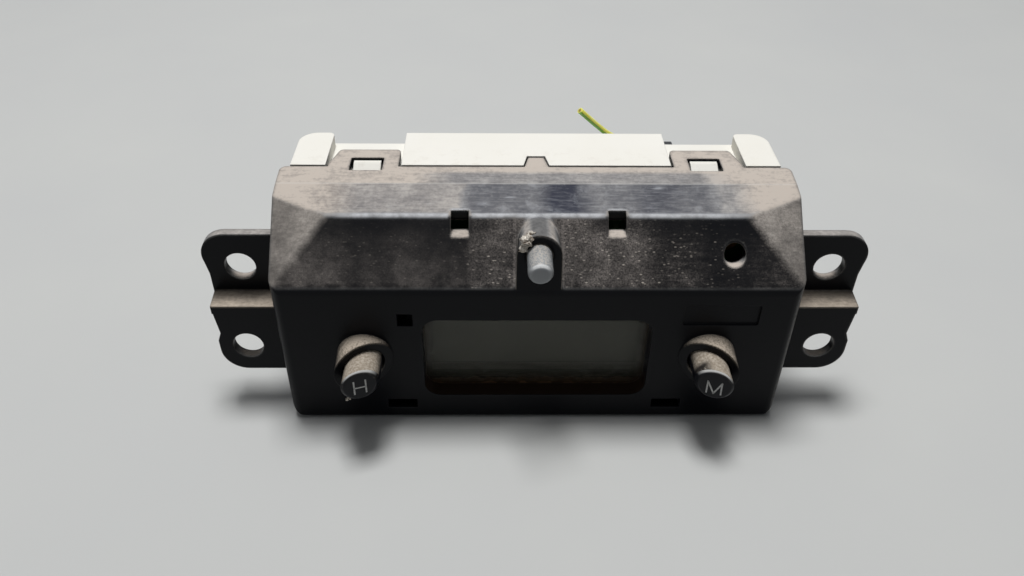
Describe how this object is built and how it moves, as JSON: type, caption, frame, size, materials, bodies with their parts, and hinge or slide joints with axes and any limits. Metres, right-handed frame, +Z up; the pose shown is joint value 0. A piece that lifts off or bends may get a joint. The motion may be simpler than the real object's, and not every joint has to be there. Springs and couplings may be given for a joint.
{
  "type": "car dashboard clock",
  "caption": "Digital car dashboard clock: black moulded front with LCD window, hour and minute push buttons, indicator light pipe and bolt-on ears, snapped onto a white rear case.",
  "frame": {"origin": "on the underside, below the middle of the housing's width and depth", "axes": "+X to the viewer's right along the width, +Y from the face to the rear, +Z up"},
  "size_m": [0.1406, 0.0758, 0.0509],
  "materials": {
    "cover_abs": "fine-grained satin",
    "case_abs": "satin",
    "lens_acrylic": "clear",
    "lcd_glass": "polarised",
    "frame_abs": "matt",
    "contact_rubber": "matt",
    "guide_acrylic": "clear",
    "lamp_resin": "gloss",
    "board_laminate": "solder resist",
    "button_abs": "satin",
    "switch_resin": "matt",
    "plunger_resin": "matt",
    "pipe_acrylic": "frosted",
    "trimmer_ceramic": "matt",
    "chip_epoxy": "matt",
    "crystal_can": "drawn",
    "capacitor_can": "sleeved",
    "header_nylon": "satin",
    "pin_brass": "tinned",
    "screw_steel": "zinc plated",
    "plug_nylon": "satin",
    "wire_pvc": "satin"
  },
  "bodies": {
    "housing": {"front_cover": "cover_abs", "rear_case": "case_abs", "window_lens": "lens_acrylic", "lcd_panel": "lcd_glass", "lcd_frame": "frame_abs", "upper_contact_strip": "contact_rubber", "lower_contact_strip": "contact_rubber", "light_guide": "guide_acrylic", "reflector": "case_abs", "backlight_lamps": "lamp_resin", "circuit_board": "board_laminate", "hour_switch": "switch_resin", "minute_switch": "switch_resin", "indicator_light_pipe": "pipe_acrylic", "indicator_led": "lamp_resin", "rate_trimmer": "trimmer_ceramic", "controller_chip": "chip_epoxy", "quartz_crystal": "crystal_can", "smoothing_capacitor": "capacitor_can", "voltage_regulator": "chip_epoxy", "chip_resistors": "chip_epoxy", "connector_header": "header_nylon", "connector_pins": "pin_brass", "board_screws": "screw_steel", "harness_plug": "plug_nylon", "harness_wire": "wire_pvc"},
    "hour_key": {"hour_button": "button_abs", "hour_switch_plunger": "plunger_resin"},
    "minute_key": {"minute_button": "button_abs", "minute_switch_plunger": "plunger_resin"}
  },
  "joints": [
    {"name": "hour_press", "type": "slide", "parent": "housing", "child": "hour_key", "axis": [0, 1, 0], "range_m": [0, 0.001], "stiffness_N_per_m": 1500, "springref_m": -0.0003},
    {"name": "minute_press", "type": "slide", "parent": "housing", "child": "minute_key", "axis": [0, 1, 0], "range_m": [0, 0.001], "stiffness_N_per_m": 1500, "springref_m": -0.0003}
  ]
}
